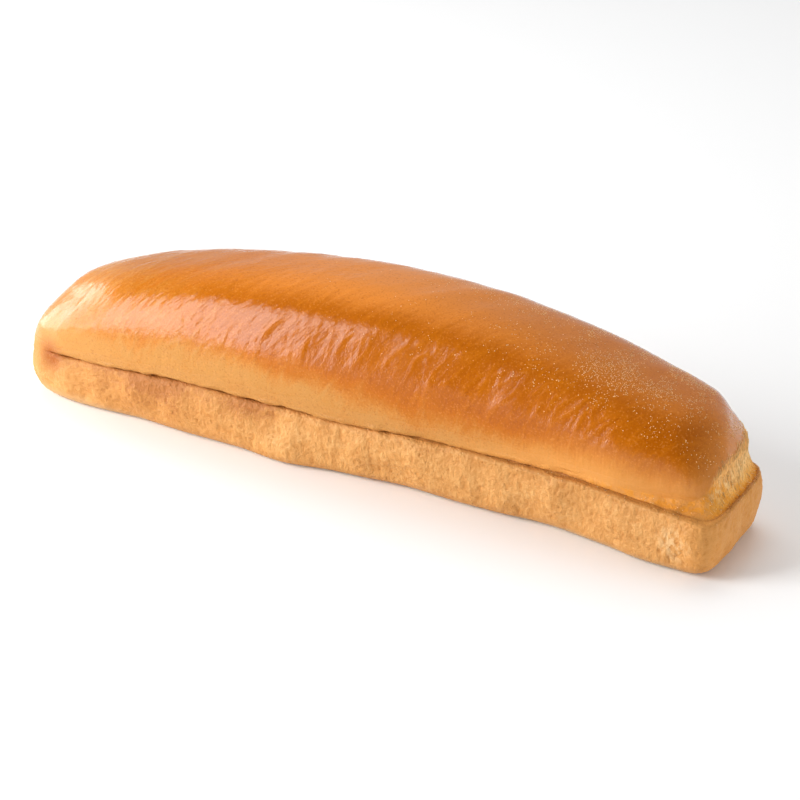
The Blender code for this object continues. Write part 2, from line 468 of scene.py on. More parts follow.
def times(tree, *factors):
    product = factors[0]
    for factor in factors[1:]:
        product = calc(tree, "MULTIPLY", product, factor)
    return product


def stretch(tree, value, low, high, outLow=0.0, outHigh=1.0, kind="SMOOTHSTEP"):
    inputs = {"Value": value, "From Min": low, "From Max": high, "To Min": outLow, "To Max": outHigh}
    return addNode(tree, "ShaderNodeMapRange", inputs, interpolation_type=kind).outputs["Result"]


def scaledNoise(tree, place, scale, detail=2.0, roughness=0.5, distortion=0.0):
    # noise whose feature size along X, Y and Z is given in metres
    pitches = {0: place, 1: [1 / size for size in scale]}
    stretched = addNode(tree, "ShaderNodeVectorMath", pitches, operation="MULTIPLY")
    inputs = {
        "Vector": stretched.outputs[0],
        "Scale": 1.0,
        "Detail": detail,
        "Roughness": roughness,
        "Distortion": distortion,
    }
    return addNode(tree, "ShaderNodeTexNoise", inputs).outputs[0]


# Geometry Nodes: every tree takes the skin and named sizes, and ends in Realize Instances and Set Material


def newGeometryTree(name, sizes):
    # a tree with an input for each size that is one number
    tree = bpy.data.node_groups.new(name, "GeometryNodeTree")
    tree.interface.new_socket(name="Skin", in_out="INPUT", socket_type="NodeSocketGeometry")
    kinds = {int: "NodeSocketInt", float: "NodeSocketFloat"}
    for label, value in sizes.items():
        if type(value) in kinds:
            tree.interface.new_socket(name=label, in_out="INPUT", socket_type=kinds[type(value)])
    tree.interface.new_socket(name="Finish", in_out="INPUT", socket_type="NodeSocketMaterial")
    tree.interface.new_socket(name="Made", in_out="OUTPUT", socket_type="NodeSocketGeometry")
    return tree, addNode(tree, "NodeGroupInput").outputs


def closeGeometryTree(tree, given, geometry):
    realized = addNode(tree, "GeometryNodeRealizeInstances", {"Geometry": geometry})
    finished = addNode(
        tree, "GeometryNodeSetMaterial", {"Geometry": realized.outputs[0], "Material": given["Finish"]}
    )
    addNode(tree, "NodeGroupOutput", {0: finished.outputs[0]})


def maskOf(tree, name):
    inputs = {"Name": name}
    return addNode(tree, "GeometryNodeInputNamedAttribute", inputs, data_type="FLOAT").outputs["Attribute"]


def runTree(tree, source, name, sizes, material):
    # runs the tree on a copy of source and returns the result as a plain mesh object
    holder = bpy.data.objects.new(name, source.data.copy())
    bpy.context.scene.collection.objects.link(holder)
    modifier = holder.modifiers.new("nodes", "NODES")
    modifier.node_group = tree
    for socket in tree.interface.items_tree:
        if socket.in_out == "INPUT" and socket.name in sizes:
            modifier[socket.identifier] = sizes[socket.name]
        elif socket.in_out == "INPUT" and socket.name == "Finish":
            modifier[socket.identifier] = material
    graph = bpy.context.evaluated_depsgraph_get()
    evaluated = holder.evaluated_get(graph)
    data = bpy.data.meshes.new_from_object(evaluated, preserve_all_data_layers=True, depsgraph=graph)
    holder.modifiers.clear()
    holder.data = data
    data.name = name
    return holder


skinRelief = {
    # pitch and height of each relief
    "sizes": {
        "Streak pitch": 0.0034,
        "Streak height": 0.00020,
        "Crest pitch": 0.0060,
        "Crest height": 0.00007,
        "Ripple pitch": 0.0016,
        "Ripple height": 0.00022,
        "Crackle pitch": 0.0010,
        "Crackle height": 0.00024,
        "Pebble pitch": 0.0014,
        "Pebble height": 0.00080,
        "Furrow pitch": 0.0013,
        "Furrow height": 0.00065,
        "Strand pitch": 0.0007,
        "Strand height": 0.00075,
        "Lip pitch": 0.0054,
        "Lip height": 0.0015,
        "Scar pitch": 0.0012,
        "Scar height": 0.0009,
    },
    # stretch along X, Y and Z, detail, distortion, and whether it forms ridges
    "shapes": {
        "Pebble": ((1.0, 1.0, 1.3), 2.0, 0.4, True),
        "Furrow": ((1.0, 1.0, 3.2), 1.0, 0.8, False),
        "Ripple": ((1.0, 3.5, 3.5), 2.0, 0.3, False),
        "Crackle": ((1.0, 2.2, 2.2), 2.0, 0.6, True),
        "Strand": ((1.0, 1.0, 9.0), 2.0, 0.0, False),
        "Lip": ((1.0, 1.0, 1.0), 2.0, 0.0, False),
        "Scar": ((1.0, 1.0, 1.6), 1.0, 0.5, True),
    },
    # from and to of each mask, as shares of a height or along X, then the share at each if not 0 and 1
    "ranges": {
        "wallStart": (0.03, 0.22),
        "wallEnd": (0.999, 0.94),
        "domeStart": (0.06, 0.28),
        "lowDomeStart": (0.02, 0.16),
        "lowDomeEnd": (0.60, 0.30),
        "crackleAlong": (-0.03, 0.03, 0.25, 1.0),
        "rippleAlong": (-0.03, 0.03, 1.0, 0.24),
        "lipStart": (0.86, 0.97),
        "lipEnd": (0.03, 0.0),
    },
    "streakSlant": (1.0, -0.85, -0.35),
    "streakLength": 0.016,
    "streakDetail": 1.5,
    "streakDistortion": 0.5,
    "crestLength": 0.020,
    "crestWidth": 0.050,
    "crestDistortion": 0.9,
    "scarSpot": ((0.1085, -0.0305, 0.0095), 0.0075),
    "fullyRaised": 0.00022,
}


def streakPlace(tree, place, pitch, length):
    # place in pitches across the streaks and in lengths along them: they cross the dome aslant
    slant = {0: place, 1: skinRelief["streakSlant"]}
    across = addNode(tree, "ShaderNodeVectorMath", slant, operation="DOT_PRODUCT").outputs["Value"]
    axes = addNode(tree, "ShaderNodeSeparateXYZ", {0: place}).outputs
    parts = {
        "X": calc(tree, "DIVIDE", across, pitch),
        "Y": calc(tree, "DIVIDE", axes[1], length),
        "Z": calc(tree, "DIVIDE", axes[2], length),
    }
    return addNode(tree, "ShaderNodeCombineXYZ", parts).outputs[0]


def spot(tree, place, centre, radius):
    # 1 at centre, falling to 0 at radius
    far = addNode(tree, "ShaderNodeVectorMath", {0: place, 1: centre}, operation="DISTANCE").outputs["Value"]
    return stretch(tree, far, radius, 0.0)


def noiseAroundZero(tree, where, detail, distortion):
    inputs = {"Vector": where, "Scale": 1.0, "Detail": detail, "Distortion": distortion}
    return calc(tree, "SUBTRACT", addNode(tree, "ShaderNodeTexNoise", inputs).outputs[0], 0.5)


def reliefOf(tree, given, place, name, mask):
    # the relief of that name in skinRelief, under its mask
    factors, detail, distortion, ridged = skinRelief["shapes"][name]
    pitch = given[name + " pitch"]
    scales = {axis: calc(tree, "DIVIDE", 1.0 / factor, pitch) for axis, factor in zip("XYZ", factors)}
    scales = addNode(tree, "ShaderNodeCombineXYZ", scales).outputs[0]
    where = addNode(tree, "ShaderNodeVectorMath", {0: place, 1: scales}, operation="MULTIPLY").outputs[0]
    value = noiseAroundZero(tree, where, detail, distortion)
    if ridged:
        value = calc(tree, "SUBTRACT", 0.25, times(tree, calc(tree, "ABSOLUTE", value), 2.0))
    return times(tree, value, mask, given[name + " height"])


def fineReliefTree():
    # streaks and ripples over the dome, pebbles and furrows on the wall, and strands in the torn crumb
    tree, given = newGeometryTree("fineSkinRelief", skinRelief["sizes"])
    place = addNode(tree, "GeometryNodeInputPosition").outputs[0]
    wall = maskOf(tree, "wallHeight")
    dome = maskOf(tree, "domeHeight")
    torn = maskOf(tree, "tornCrumb")
    lengthwise = addNode(tree, "ShaderNodeSeparateXYZ", {0: place}).outputs[0]

    def within(value, name):
        return stretch(tree, value, *skinRelief["ranges"][name])

    onWall = times(tree, within(wall, "wallStart"), within(wall, "wallEnd"))
    onDome = calc(tree, "SUBTRACT", within(dome, "domeStart"), torn, clamp=True)
    lowDome = times(tree, within(dome, "lowDomeStart"), within(dome, "lowDomeEnd"))
    lowDome = times(tree, lowDome, within(lengthwise, "crackleAlong"))
    rippled = times(tree, onDome, within(lengthwise, "rippleAlong"))
    onLip = times(tree, within(wall, "lipStart"), within(dome, "lipEnd"), maskOf(tree, "creaseShare"))
    onScar = spot(tree, place, *skinRelief["scarSpot"])

    streakWhere = streakPlace(tree, place, given["Streak pitch"], skinRelief["streakLength"])
    streaks = noiseAroundZero(tree, streakWhere, skinRelief["streakDetail"], skinRelief["streakDistortion"])
    # crests are thin raised lines, where a broader streak noise crosses its middle
    crestWhere = streakPlace(tree, place, given["Crest pitch"], skinRelief["crestLength"])
    crest = noiseAroundZero(tree, crestWhere, skinRelief["streakDetail"], skinRelief["crestDistortion"])
    crest = stretch(tree, calc(tree, "ABSOLUTE", crest), skinRelief["crestWidth"], 0.0)
    crest = times(tree, crest, onDome)
    pebbles = reliefOf(tree, given, place, "Pebble", onWall)
    wallRelief = calc(tree, "ADD", pebbles, reliefOf(tree, given, place, "Furrow", onWall))

    total = times(tree, streaks, rippled, given["Streak height"])
    total = calc(tree, "ADD", total, times(tree, crest, given["Crest height"]))
    total = calc(tree, "ADD", total, wallRelief)
    masks = (("Ripple", rippled), ("Crackle", lowDome), ("Strand", torn), ("Lip", onLip), ("Scar", onScar))
    for name, mask in masks:
        total = calc(tree, "ADD", total, reliefOf(tree, given, place, name, mask))
    normal = addNode(tree, "GeometryNodeInputNormal").outputs[0]
    shift = addNode(tree, "ShaderNodeVectorMath", {0: normal, "Scale": total}, operation="SCALE").outputs[0]
    inputs = {"Geometry": given["Skin"], "Offset": shift}
    finished = addNode(tree, "GeometryNodeSetPosition", inputs).outputs[0]
    full = skinRelief["fullyRaised"]
    raised = stretch(tree, wallRelief, -full, full, kind="LINEAR")
    for name, value in (("wallRelief", raised), ("crestLine", crest)):
        inputs = {"Geometry": finished, "Name": name, "Value": value}
        finished = addNode(tree, "GeometryNodeStoreNamedAttribute", inputs, data_type="FLOAT").outputs[0]
    closeGeometryTree(tree, given, finished)
    return tree


def scatterPoints(tree, given, prefix, mask):
    return addNode(
        tree,
        "GeometryNodeDistributePointsOnFaces",
        {
            "Mesh": given["Skin"],
            "Distance Min": given[prefix + " spacing"],
            "Density Max": given[prefix + " density"],
            "Density Factor": mask,
            "Seed": given[prefix + " seed"],
        },
        distribute_method="POISSON",
    ).outputs


def randomFloat(tree, low, high, seed):
    inputs = {2: low, 3: high, "Seed": seed}
    return addNode(tree, "FunctionNodeRandomValue", inputs, data_type="FLOAT").outputs[1]


def randomVector(tree, low, high, seed):
    inputs = {0: low, 1: high, "Seed": seed}
    return addNode(tree, "FunctionNodeRandomValue", inputs, data_type="FLOAT_VECTOR").outputs[0]


def closeInstances(tree, given, points, instance, rotation, scale, smooth=True):
    inputs = {"Points": points, "Instance": instance, "Rotation": rotation, "Scale": scale}
    placed = addNode(tree, "GeometryNodeInstanceOnPoints", inputs).outputs[0]
    if smooth:
        placed = addNode(tree, "GeometryNodeSetShadeSmooth", {"Geometry": placed}).outputs[0]
    closeGeometryTree(tree, given, placed)


blisterSizes = {
    "Blister radius": 0.00013,
    "Blister spacing": 0.00032,
    "Blister density": 8000000.0,
    "Blister seed": 11,
    "Smallest": 0.5,
    "Largest": 1.4,
    "Flatness": 0.6,
}


def blisterTree():
    # tiny pale blisters, pressed a little flat and sunk half into the crust
    tree, given = newGeometryTree("crustBlisters", blisterSizes)
    points = scatterPoints(tree, given, "Blister", maskOf(tree, "blisterShare"))
    inputs = {"Segments": 7, "Rings": 5, "Radius": given["Blister radius"]}
    bead = addNode(tree, "GeometryNodeMeshUVSphere", inputs)
    size = randomFloat(tree, given["Smallest"], given["Largest"], 3)
    sizes = {0: size, 1: size, 2: times(tree, size, given["Flatness"])}
    scale = addNode(tree, "ShaderNodeCombineXYZ", sizes).outputs[0]
    closeInstances(tree, given, points["Points"], bead.outputs["Mesh"], points["Rotation"], scale)
    return tree


flakeSizes = {
    "Flake radius": 0.00017,
    "Flake spacing": 0.00035,
    "Flake density": 5000000.0,
    "Flake seed": 4,
    # how far a flake leans each way, and its smallest scale, largest scale and seed along each axis
    "lean": (0.6, 0.6, 0.5),
    "scales": ((0.5, 1.6, 5), (0.3, 0.8, 6), (0.6, 1.7, 7)),
}


def flakeTree():
    # brown shards of crust that stand up along the torn lip
    tree, given = newGeometryTree("lipFlakes", flakeSizes)
    points = scatterPoints(tree, given, "Flake", maskOf(tree, "raggedLip"))
    radius = given["Flake radius"]
    inputs = {"Vertices": 5, "Radius Top": 0.0, "Radius Bottom": radius, "Depth": radius}
    shard = addNode(tree, "GeometryNodeMeshCone", inputs).outputs["Mesh"]
    least = [-value for value in flakeSizes["lean"]]
    inputs = {0: points["Rotation"], 1: randomVector(tree, least, flakeSizes["lean"], 2)}
    turned = addNode(tree, "FunctionNodeRotateRotation", inputs, rotation_space="LOCAL").outputs[0]
    sizes = {axis: randomFloat(tree, *scales) for axis, scales in enumerate(flakeSizes["scales"])}
    scale = addNode(tree, "ShaderNodeCombineXYZ", sizes).outputs[0]
    closeInstances(tree, given, points["Points"], shard, turned, scale, smooth=False)
    return tree


wispSizes = {
    "Wisp length": 0.0024,
    "Wisp radius": 0.00006,
    "Wisp spacing": 0.00045,
    "Wisp density": 3000000.0,
    "Wisp seed": 5,
    "Bow place": 0.5,
    "Bow depth": 0.06,
    "Smallest": 0.4,
    "Largest": 1.1,
    # how bare the crumb is where wisps grow, and the least and most that they lean
    "tornRange": (0.35, 1.0),
    "leans": ((-0.15, -0.15, 0.9), (0.15, 0.15, 1.0)),
}


def wispTree():
    # fine fibres of stretched crumb that run up the torn face
    tree, given = newGeometryTree("crumbWisps", wispSizes)
    torn = stretch(tree, maskOf(tree, "tornCrumb"), *wispSizes["tornRange"])
    points = scatterPoints(tree, given, "Wisp", torn)
    length = given["Wisp length"]
    bow = {1: times(tree, length, given["Bow place"]), 2: times(tree, length, given["Bow depth"])}
    inputs = {
        "Resolution": 4,
        "Start": (0, 0, 0),
        "Middle": addNode(tree, "ShaderNodeCombineXYZ", bow).outputs[0],
        "End": addNode(tree, "ShaderNodeCombineXYZ", {1: length}).outputs[0],
    }
    strand = addNode(tree, "GeometryNodeCurveQuadraticBezier", inputs).outputs[0]
    inputs = {"Resolution": 4, "Radius": given["Wisp radius"]}
    ring = addNode(tree, "GeometryNodeCurvePrimitiveCircle", inputs).outputs[0]
    inputs = {"Curve": strand, "Profile Curve": ring, "Fill Caps": True}
    tube = addNode(tree, "GeometryNodeCurveToMesh", inputs).outputs[0]
    inputs = {"Rotation": points["Rotation"], "Vector": randomVector(tree, *wispSizes["leans"], 8)}
    turned = addNode(tree, "FunctionNodeAlignRotationToVector", inputs, axis="Y", pivot_axis="Z").outputs[0]
    scale = randomFloat(tree, given["Smallest"], given["Largest"], 21)
    closeInstances(tree, given, points["Points"], tube, turned, scale)
    return tree


# Finishes


def fromScreen(red, green, blue):
    # a colour given as it looks on a screen, 0 to 255, as the linear colour a shader takes
    def linear(value):
        share = value / 255
        return share / 12.92 if share <= 0.04045 else ((share + 0.055) / 1.055) ** 2.4

    return (linear(red), linear(green), linear(blue), 1.0)


def ramp(tree, share, stops):
    made = addNode(tree, "ShaderNodeValToRGB", {"Fac": share})
    made.color_ramp.interpolation = "LINEAR"
    elements = made.color_ramp.elements
    while len(elements) < len(stops):
        elements.new(0.5)
    for element, (place, colour) in zip(elements, stops):
        element.position = place
        element.color = fromScreen(*colour)
    return made.outputs["Color"]


def blendColours(tree, share, first, second):
    inputs = {0: share, 6: first, 7: second}
    return addNode(tree, "ShaderNodeMix", inputs, data_type="RGBA").outputs[2]


crustFinish = {
    # colours of the skin as the light of this studio needs them, 0 to 255
    "domeColours": (
        (0.0, (186, 130, 64)),
        (0.22, (186, 120, 50)),
        (0.45, (180, 106, 28)),
        (0.70, (177, 96, 8)),
        (1.0, (162, 83, 2)),
    ),
    "wallColours": (
        (0.0, (168, 106, 50)),
        (0.35, (190, 130, 66)),
        (0.65, (204, 148, 84)),
        (1.0, (218, 170, 110)),
    ),
    "crumbColours": (
        (0.0, (176, 98, 26)),
        (0.14, (218, 140, 44)),
        (0.40, (234, 172, 86)),
        (0.75, (238, 196, 136)),
        (1.0, (222, 162, 92)),
    ),
    # painted light and sheen along the crown ridge
    "paintedRidgeLight": (222, 134, 48),
    "footCream": (196, 158, 112),
    "scarCream": (222, 184, 134),
    "crumbYellow": (222, 144, 40),
    # tan of the skin's edge by the tear, also used as the painted light at the very +X end
    "edgeTanAndEndLight": (216, 146, 70),
    "darkFreckle": (140, 62, 8),
    "paleFreckle": (222, 150, 76),
    # brown of the painted shade in the crease, and of the torn lip's edge
    "paintedCreaseShade": (150, 74, 12),
    # brown of the painted shade in the notch where the crease ends
    "paintedNotchShade": (152, 78, 6),
    "glazeRoughness": 0.16,
    "mattRoughness": 0.55,
    "crumbRoughness": 0.85,
    "specular": 0.25,
    "bumpHeight": 0.00022,
    # places with a colour of their own, and places of painted shade: (centre, radius)
    # painted shade in the notch where the crease ends at the -X end
    "notchSpot": ((-0.107, -0.0172, 0.0158), 0.0090),
    # painted shade under the overhanging dome on the left of the wall
    "underDomeShadeSpots": (((-0.066, -0.0215, 0.0165), 0.016), ((-0.030, -0.0222, 0.0170), 0.014)),
    "fringeSpot": ((0.110, -0.026, 0.022), 0.017),
    # float attributes of the skin that the finish reads
    "masks": "wallHeight domeHeight tornCrumb tearRise creaseShade creaseShare wallRelief crestLine".split(),
    # textures: size along X, Y and Z, detail, roughness, distortion
    "textures": {
        "blotch": ((0.016, 0.012, 0.012), 2.0, 0.5, 0.0),
        "patch": ((0.007, 0.007, 0.006), 2.0, 0.5, 0.0),
        "clump": ((0.003, 0.003, 0.003), 2.0, 0.5, 0.0),
        "mottle": ((0.0016, 0.0016, 0.0016), 4.0, 0.65, 0.0),
        "pebble": ((0.0014, 0.0014, 0.0024), 3.0, 0.5, 0.5),
        "knob": ((0.0008, 0.0008, 0.0012), 2.0, 0.5, 0.0),
        "strand": ((0.0006, 0.0006, 0.0070), 2.0, 0.5, 0.0),
        "freckle": ((0.0006, 0.0006, 0.0006), 1.0, 0.5, 0.0),
        "grain": ((0.0005, 0.0005, 0.0005), 2.0, 0.5, 0.0),
    },
    # slanting textures: pitch across, length along, distortion
    "slantTextures": {
        "streak": (0.0032, 0.018, 0.7),
        "wrinkle": (0.0018, 0.0034, 0.0),
    },
    "slantDetail": 3.0,
    # from and to, on a mask, a texture or along X, then the share at each if not 0 and 1
    "ranges": {
        "palerLeft": (-0.045, 0.035, -0.17, 0.0),
        "glowHeight": (0.04, 0.42),
        "bakeAlong": (-0.118, -0.010, 0.22, 0.92),
        "ridgeHeight": (0.84, 1.0),
        "ridgeStart": (-0.090, 0.0),
        "ridgeFade": (0.0, 0.080, 0.85, 0.35),
        "darkFreckle": (0.58, 0.68),
        "paleFreckle": (0.40, 0.32),
        # where the painted shade under the crease lies on the left of the wall
        "underCreaseShadeStart": (-0.020, -0.060),
        "underCreaseShadeEnd": (-0.105, -0.085, 0.2, 1.0),
        "underCreaseShadeHeight": (0.10, 0.50, 0.1, 1.0),
        # height on the wall of the painted shade spots just under the lip
        "underLip": (0.40, 0.90),
        "lipTan": (0.60, 1.0, 0.0, 0.12),
        "creamLeft": (-0.060, -0.095, 0.05, 0.32),
        "creamRight": (0.045, 0.075, 0.0, 0.14),
        "scarPebble": (0.42, 0.62),
        "fadedCrease": (0.35, 1.0),
        "fullCrease": (0.985, 1.0),
        "notchPebble": (0.15, 0.45),
        "fringeStrand": (0.38, 0.62),
        "bareCrumb": (0.12, 0.88),
        "edgeRise": (0.02, 0.20),
        "edgeTop": (0.030, 0.095, 0.14, 0.62),
        "edgeAlong": (0.020, 0.080, 0.0, 0.85),
        # where the skin at the very +X end is made paler as painted light
        "tipAlong": (0.106, 0.118),
        "clingingHeight": (0.12, 0.0),
        "clingingAlong": (0.066, 0.100),
        "clingingPebble": (0.42, 0.58),
        "clingingRise": (0.05, 0.30),
        "clingingSide": (0.0, -0.012),
        "lineShade": (0.22, 1.0),
        "lineBreaks": (0.30, 0.62, 0.25, 1.0),
        "glazeHeight": (0.02, 0.22),
        "wrinkleFade": (-0.035, 0.020, 0.9, 0.28),
        "wrinkleStart": (-0.105, -0.075, 0.5, 1.0),
    },
    # how strongly a texture shifts something, or a colour shows
    "shares": {
        "glazeBlotch": 0.12,
        "bakeBlotch": 0.35,
        "bakeStreak": 0.38,
        "bakeGrain": 0.40,
        "bakeMottle": 0.34,
        "paleCrest": 0.17,
        "ridgeStreak": 0.12,
        "darkFreckle": 0.28,
        "paleFreckle": 0.20,
        "middleTan": 0.50,
        "tanRelief": 0.45,
        "tanPebble": 0.40,
        "tanPatch": 0.35,
        # painted shade under the crease and dome on the left: its strength, the patch that breaks its spots,
        # and the spots' strength
        "underCreaseShade": 0.28,
        "lipPatch": 0.4,
        "underDomeShadeShare": 0.5,
        "creamPatch": 0.20,
        "creamFoot": 0.02,
        "scar": 0.8,
        "crumbStrand": 0.45,
        "fringe": 0.8,
        "bareStrand": 0.7,
        "edgeStrand": 0.20,
        "tip": 0.45,
        "clingingStrand": 0.16,
        "clinging": 0.75,
        "line": 0.60,
        "glazeSmoothness": 0.82,
        "knobs": 1.5,
    },
}


def painted(tree, share, colour, name):
    # colour with a share of one of the crust's own colours over it
    return blendColours(tree, share, colour, fromScreen(*crustFinish[name]))


def ranged(tree, value, name):
    return stretch(tree, value, *crustFinish["ranges"][name])


def shifted(tree, value, texture, share):
    # value with a texture around 0.5 added to it, as strongly as a named share or a socket says
    amount = crustFinish["shares"][share] if isinstance(share, str) else share
    return calc(tree, "ADD", value, times(tree, calc(tree, "SUBTRACT", texture, 0.5), amount))


def crustSockets(tree):
    # the skin's place, its masks and the textures of the crust, by name
    place = addNode(tree, "ShaderNodeTexCoord").outputs["Object"]
    axes = addNode(tree, "ShaderNodeSeparateXYZ", {0: place}).outputs
    skin = {"place": place, "lengthwise": axes[0], "sideways": axes[1]}
    for name in crustFinish["masks"]:
        skin[name] = addNode(tree, "ShaderNodeAttribute", attribute_name=name).outputs["Fac"]
    for name, texture in crustFinish["textures"].items():
        skin[name] = scaledNoise(tree, place, *texture)
    for name, (pitch, length, distortion) in crustFinish["slantTextures"].items():
        inputs = {
            "Vector": streakPlace(tree, place, pitch, length),
            "Scale": 1.0,
            "Detail": crustFinish["slantDetail"],
            "Distortion": distortion,
        }
        skin[name] = addNode(tree, "ShaderNodeTexNoise", inputs).outputs[0]
    return skin


def domeColour(tree, skin):
    # the glazed dome bakes deeper towards its crown and away from the -X end
    shares = crustFinish["shares"]
    lower = shifted(tree, skin["domeHeight"], skin["blotch"], "glazeBlotch")
    lower = calc(tree, "ADD", lower, ranged(tree, skin["lengthwise"], "palerLeft"))
    height = ranged(tree, lower, "glowHeight")
    bake = times(tree, height, ranged(tree, skin["lengthwise"], "bakeAlong"))
    bake = shifted(tree, bake, skin["blotch"], "bakeBlotch")
    bake = shifted(tree, bake, skin["streak"], times(tree, height, shares["bakeStreak"]))
    bake = shifted(tree, bake, skin["grain"], "bakeGrain")
    bake = shifted(tree, bake, skin["mottle"], "bakeMottle")
    # painted highlight: the raised crest lines are made paler
    bake = calc(tree, "SUBTRACT", bake, times(tree, skin["crestLine"], shares["paleCrest"]), clamp=True)
    colour = ramp(tree, bake, crustFinish["domeColours"])
    # painted light: a paler gold along the crown ridge stands in for light from above and its sheen, fading
    # towards +X
    ridge = ranged(tree, shifted(tree, skin["domeHeight"], skin["streak"], "ridgeStreak"), "ridgeHeight")
    for name in ("ridgeStart", "ridgeFade"):
        ridge = times(tree, ridge, ranged(tree, skin["lengthwise"], name))
    colour = painted(tree, ridge, colour, "paintedRidgeLight")
    for name in ("darkFreckle", "paleFreckle"):
        freckled = times(tree, ranged(tree, skin["freckle"], name), shares[name])
        colour = painted(tree, freckled, colour, name)
    return colour


def wallColour(tree, skin):
    # mottled tan, with painted shade under the crease and the overhanging dome on the left, cream at the
    # foot, and a pale scar on the right
    shares = crustFinish["shares"]
    wall, lengthwise = skin["wallHeight"], skin["lengthwise"]
    # painted shade and light: the tan follows the wall's relief, darker in its grooves and paler on its
    # pebbles
    tan = shifted(tree, shares["middleTan"], skin["wallRelief"], "tanRelief")
    tan = shifted(tree, tan, skin["pebble"], "tanPebble")
    tan = shifted(tree, tan, skin["patch"], "tanPatch")
    # painted shade: darker towards the top of the wall on the left, under the crease and the overhanging
    # dome
    underCreaseShade = times(tree, ranged(tree, lengthwise, "underCreaseShadeStart"), ranged(tree, lengthwise, "underCreaseShadeEnd"))
    underCreaseShade = times(tree, underCreaseShade, ranged(tree, wall, "underCreaseShadeHeight"), shares["underCreaseShade"])
    tan = calc(tree, "SUBTRACT", tan, underCreaseShade)
    # painted shade: two darker spots just under the lip on the left, below the overhanging dome
    underLip = ranged(tree, shifted(tree, wall, skin["patch"], "lipPatch"), "underLip")
    for centre, radius in crustFinish["underDomeShadeSpots"]:
        underDomeShade = times(tree, spot(tree, skin["place"], centre, radius), underLip, shares["underDomeShadeShare"])
        tan = calc(tree, "SUBTRACT", tan, underDomeShade)
    tan = calc(tree, "SUBTRACT", tan, ranged(tree, wall, "lipTan"), clamp=True)
    colour = ramp(tree, tan, crustFinish["wallColours"])
    creamTop = ranged(tree, lengthwise, "creamLeft")
    creamTop = calc(tree, "ADD", creamTop, ranged(tree, lengthwise, "creamRight"))
    cream = stretch(tree, shifted(tree, wall, skin["patch"], "creamPatch"), creamTop, shares["creamFoot"])
    colour = painted(tree, cream, colour, "footCream")
    scar = spot(tree, skin["place"], *skinRelief["scarSpot"])
    scar = times(tree, scar, ranged(tree, skin["pebble"], "scarPebble"), shares["scar"])
    return painted(tree, scar, colour, "scarCream")


def crumbColour(tree, skin):
    # brown against the lip, then yellow, then cream up to the edge of the skin
    shares = crustFinish["shares"]
    level = shifted(tree, skin["tearRise"], skin["strand"], "crumbStrand")
    colour = ramp(tree, level, crustFinish["crumbColours"])
    fringe = spot(tree, skin["place"], *crustFinish["fringeSpot"])
    fringe = times(tree, fringe, ranged(tree, skin["strand"], "fringeStrand"), shares["fringe"])
    return painted(tree, fringe, colour, "crumbYellow")


def edgePainted(tree, skin, colour, bare):
    # the tan edge of the skin beside the torn end, painted light and sheen on the skin at the very end, and
    # yellow-brown crumbs that cling to it
    shares = crustFinish["shares"]
    dome, lengthwise = skin["domeHeight"], skin["lengthwise"]
    edgeTop = ranged(tree, lengthwise, "edgeTop")
    onEdge = stretch(tree, shifted(tree, dome, skin["strand"], "edgeStrand"), edgeTop, 0.0)
    onEdge = times(tree, ranged(tree, skin["tearRise"], "edgeRise"), onEdge)
    onEdge = times(tree, onEdge, ranged(tree, lengthwise, "edgeAlong"))
    onEdge = calc(tree, "SUBTRACT", onEdge, bare, clamp=True)
    colour = painted(tree, onEdge, colour, "edgeTanAndEndLight")
    # painted light: the skin at the very +X end is made paler, standing in for light and sheen from the
    # right
    onTip = calc(tree, "SUBTRACT", shares["tip"], bare, clamp=True)
    onTip = times(tree, ranged(tree, lengthwise, "tipAlong"), onTip)
    colour = painted(tree, onTip, colour, "edgeTanAndEndLight")
    clinging = ranged(tree, shifted(tree, dome, skin["strand"], "clingingStrand"), "clingingHeight")
    for socket, name in (
        ("lengthwise", "clingingAlong"),
        ("pebble", "clingingPebble"),
        ("tearRise", "clingingRise"),
        ("sideways", "clingingSide"),
    ):
        clinging = times(tree, clinging, ranged(tree, skin[socket], name))
    return painted(tree, times(tree, clinging, shares["clinging"]), colour, "crumbYellow")


def crustBump(tree, skin, onDome, glazed):
    # the finest relief: wrinkles and pores of the glaze, and a rougher grain on wall and crumb
    shares = crustFinish["shares"]
    coarse = calc(tree, "SUBTRACT", 1.0, times(tree, glazed, shares["glazeSmoothness"]))
    knobs = times(tree, skin["knob"], calc(tree, "SUBTRACT", 1.0, onDome), shares["knobs"])
    height = calc(tree, "ADD", times(tree, skin["grain"], coarse), knobs)
    wrinkled = ranged(tree, skin["lengthwise"], "wrinkleFade")
    wrinkled = times(tree, wrinkled, ranged(tree, skin["lengthwise"], "wrinkleStart"))
    height = calc(tree, "ADD", height, times(tree, skin["wrinkle"], glazed, wrinkled))
    inputs = {"Strength": 1.0, "Distance": crustFinish["bumpHeight"], "Height": height}
    return addNode(tree, "ShaderNodeBump", inputs).outputs[0]


